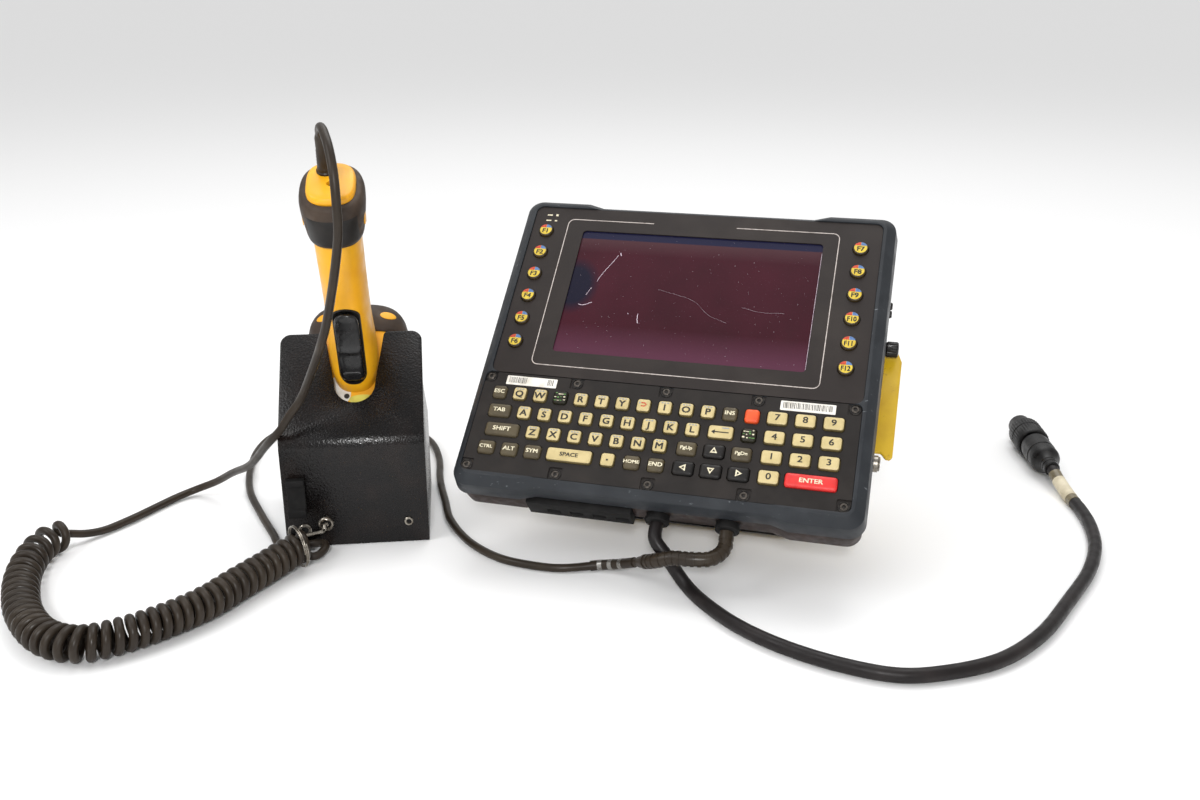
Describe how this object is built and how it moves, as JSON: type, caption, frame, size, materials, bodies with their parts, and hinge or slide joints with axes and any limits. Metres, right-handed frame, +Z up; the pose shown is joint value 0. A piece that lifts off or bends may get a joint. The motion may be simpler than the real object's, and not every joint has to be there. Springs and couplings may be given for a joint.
{
  "type": "data collector",
  "caption": "Keyboard terminal tilted on a stand, joined by a curly cord to a hand-held scanner in a sheet-metal holster, with a power cord that ends in a screw connector.",
  "frame": {"origin": "centre of the underside of the stand's foot, which stands on the surface", "axes": "+X to the right of the set and +Z up, as the row of the set stands; the terminal is turned 15.7 degrees about Z and the holster 7 degrees the other way"},
  "size_m": [0.6813, 0.3687, 0.2637],
  "materials": {
    "bezel": "textured",
    "rear_case": "textured",
    "seal": "matte",
    "overlay": "satin",
    "screen": "polished",
    "lcd": "satin",
    "circuit_board": "satin",
    "battery": "matte",
    "keypad": "matte",
    "key_beige": "matte",
    "key_olive": "matte",
    "key_black": "matte",
    "key_red": "matte",
    "key_yellow": "matte",
    "port": "matte",
    "socket": "satin",
    "nickel": "polished",
    "stand_yellow": "satin",
    "stand_black": "textured",
    "knob": "satin",
    "holster_black": "textured",
    "clip": "satin",
    "scanner_yellow": "satin",
    "scanner_rubber": "matte",
    "scan_window": "polished",
    "scan_engine": "matte",
    "trigger_black": "satin",
    "cord_grey": "satin",
    "cable_black": "satin",
    "connector_black": "satin"
  },
  "bodies": {
    "base": {"front_housing": "bezel", "rear_housing": "rear_case", "housing_gasket": "seal", "display_overlay": "overlay", "display_window": "screen", "lcd_module": "lcd", "main_board": "circuit_board", "keyboard_panel": "overlay", "keypad_mat": "keypad", "keyboard_board": "circuit_board", "backup_battery": "battery", "port_cover": "port", "power_socket": "socket", "scanner_socket": "socket", "antenna_socket": "nickel", "stand_plate": "stand_yellow", "stand_arm": "stand_black", "stand_foot": "stand_black", "holster_front": "holster_black", "holster_body": "holster_black", "cord_clip": "clip", "tether_ring": "nickel", "coil_cord": "cord_grey", "scanner_tail": "cord_grey", "terminal_boot": "cord_grey", "power_cord": "cable_black", "connector_shell": "connector_black", "connector_insert": "socket"},
    "scanner": {"scanner_head": "scanner_yellow", "scanner_handle": "scanner_yellow", "grip_boot": "scanner_rubber", "end_cap": "scanner_yellow", "rear_bumper": "scanner_rubber", "nose_boot": "scanner_rubber", "scan_window": "scan_window", "scan_engine": "scan_engine", "scanner_gland": "cord_grey", "scanner_lead": "cord_grey"},
    "trigger": {"trigger": "trigger_black"},
    "clamp_knob": {"clamp_knob": "knob"},
    "coupling_ring": {"coupling_ring": "connector_black"},
    "key_f1": {"key_f1": "key_yellow"},
    "key_f2": {"key_f2": "key_yellow"},
    "key_f3": {"key_f3": "key_yellow"},
    "key_f4": {"key_f4": "key_yellow"},
    "key_f5": {"key_f5": "key_yellow"},
    "key_f6": {"key_f6": "key_yellow"},
    "key_f7": {"key_f7": "key_yellow"},
    "key_f8": {"key_f8": "key_yellow"},
    "key_f9": {"key_f9": "key_yellow"},
    "key_f10": {"key_f10": "key_yellow"},
    "key_f11": {"key_f11": "key_yellow"},
    "key_f12": {"key_f12": "key_yellow"},
    "key_enter": {"key_enter": "key_red"},
    "key_space": {"key_space": "key_beige"},
    "key_shift": {"key_shift": "key_olive"},
    "key_up": {"key_up": "key_black"},
    "key_down": {"key_down": "key_black"},
    "key_left": {"key_left": "key_black"},
    "key_right": {"key_right": "key_black"}
  },
  "joints": [
    {"name": "scanner_lift", "type": "slide", "parent": "base", "child": "scanner", "axis": [-0.0847, 0.6895, 0.7193], "range_m": [0, 0.1]},
    {"name": "trigger_pull", "type": "hinge", "parent": "scanner", "child": "trigger", "pos_m": [-0.22036, -0.06163, 0.10259], "axis": [-0.9925, -0.1219, 0], "range_deg": [0, 3.5], "stiffness_Nm_per_rad": 0.3, "springref_deg": -6.88},
    {"name": "clamp_turn", "type": "hinge", "parent": "base", "child": "clamp_knob", "pos_m": [0.10922, -0.06993, 0.12234], "axis": [0.9627, -0.2706, 0], "continuous": true},
    {"name": "coupling_turn", "type": "hinge", "parent": "base", "child": "coupling_ring", "pos_m": [0.25212, 0.06086, 0.012], "axis": [0.0698, 0.9976, 0], "continuous": true},
    {"name": "press_f1", "type": "slide", "parent": "base", "child": "key_f1", "axis": [0.1775, 0.6316, -0.7547], "range_m": [0, 0.0012], "stiffness_N_per_m": 400, "springref_m": -0.0005},
    {"name": "press_f2", "type": "slide", "parent": "base", "child": "key_f2", "axis": [0.1775, 0.6316, -0.7547], "range_m": [0, 0.0012], "stiffness_N_per_m": 400, "springref_m": -0.0005},
    {"name": "press_f3", "type": "slide", "parent": "base", "child": "key_f3", "axis": [0.1775, 0.6316, -0.7547], "range_m": [0, 0.0012], "stiffness_N_per_m": 400, "springref_m": -0.0005},
    {"name": "press_f4", "type": "slide", "parent": "base", "child": "key_f4", "axis": [0.1775, 0.6316, -0.7547], "range_m": [0, 0.0012], "stiffness_N_per_m": 400, "springref_m": -0.0005},
    {"name": "press_f5", "type": "slide", "parent": "base", "child": "key_f5", "axis": [0.1775, 0.6316, -0.7547], "range_m": [0, 0.0012], "stiffness_N_per_m": 400, "springref_m": -0.0005},
    {"name": "press_f6", "type": "slide", "parent": "base", "child": "key_f6", "axis": [0.1775, 0.6316, -0.7547], "range_m": [0, 0.0012], "stiffness_N_per_m": 400, "springref_m": -0.0005},
    {"name": "press_f7", "type": "slide", "parent": "base", "child": "key_f7", "axis": [0.1775, 0.6316, -0.7547], "range_m": [0, 0.0012], "stiffness_N_per_m": 400, "springref_m": -0.0005},
    {"name": "press_f8", "type": "slide", "parent": "base", "child": "key_f8", "axis": [0.1775, 0.6316, -0.7547], "range_m": [0, 0.0012], "stiffness_N_per_m": 400, "springref_m": -0.0005},
    {"name": "press_f9", "type": "slide", "parent": "base", "child": "key_f9", "axis": [0.1775, 0.6316, -0.7547], "range_m": [0, 0.0012], "stiffness_N_per_m": 400, "springref_m": -0.0005},
    {"name": "press_f10", "type": "slide", "parent": "base", "child": "key_f10", "axis": [0.1775, 0.6316, -0.7547], "range_m": [0, 0.0012], "stiffness_N_per_m": 400, "springref_m": -0.0005},
    {"name": "press_f11", "type": "slide", "parent": "base", "child": "key_f11", "axis": [0.1775, 0.6316, -0.7547], "range_m": [0, 0.0012], "stiffness_N_per_m": 400, "springref_m": -0.0005},
    {"name": "press_f12", "type": "slide", "parent": "base", "child": "key_f12", "axis": [0.1775, 0.6316, -0.7547], "range_m": [0, 0.0012], "stiffness_N_per_m": 400, "springref_m": -0.0005},
    {"name": "press_enter", "type": "slide", "parent": "base", "child": "key_enter", "axis": [0.1775, 0.6316, -0.7547], "range_m": [0, 0.0012], "stiffness_N_per_m": 400, "springref_m": -0.0005},
    {"name": "press_space", "type": "slide", "parent": "base", "child": "key_space", "axis": [0.1775, 0.6316, -0.7547], "range_m": [0, 0.0012], "stiffness_N_per_m": 400, "springref_m": -0.0005},
    {"name": "press_shift", "type": "slide", "parent": "base", "child": "key_shift", "axis": [0.1775, 0.6316, -0.7547], "range_m": [0, 0.0012], "stiffness_N_per_m": 400, "springref_m": -0.0005},
    {"name": "press_up", "type": "slide", "parent": "base", "child": "key_up", "axis": [0.1775, 0.6316, -0.7547], "range_m": [0, 0.0012], "stiffness_N_per_m": 400, "springref_m": -0.0005},
    {"name": "press_down", "type": "slide", "parent": "base", "child": "key_down", "axis": [0.1775, 0.6316, -0.7547], "range_m": [0, 0.0012], "stiffness_N_per_m": 400, "springref_m": -0.0005},
    {"name": "press_left", "type": "slide", "parent": "base", "child": "key_left", "axis": [0.1775, 0.6316, -0.7547], "range_m": [0, 0.0012], "stiffness_N_per_m": 400, "springref_m": -0.0005},
    {"name": "press_right", "type": "slide", "parent": "base", "child": "key_right", "axis": [0.1775, 0.6316, -0.7547], "range_m": [0, 0.0012], "stiffness_N_per_m": 400, "springref_m": -0.0005}
  ]
}
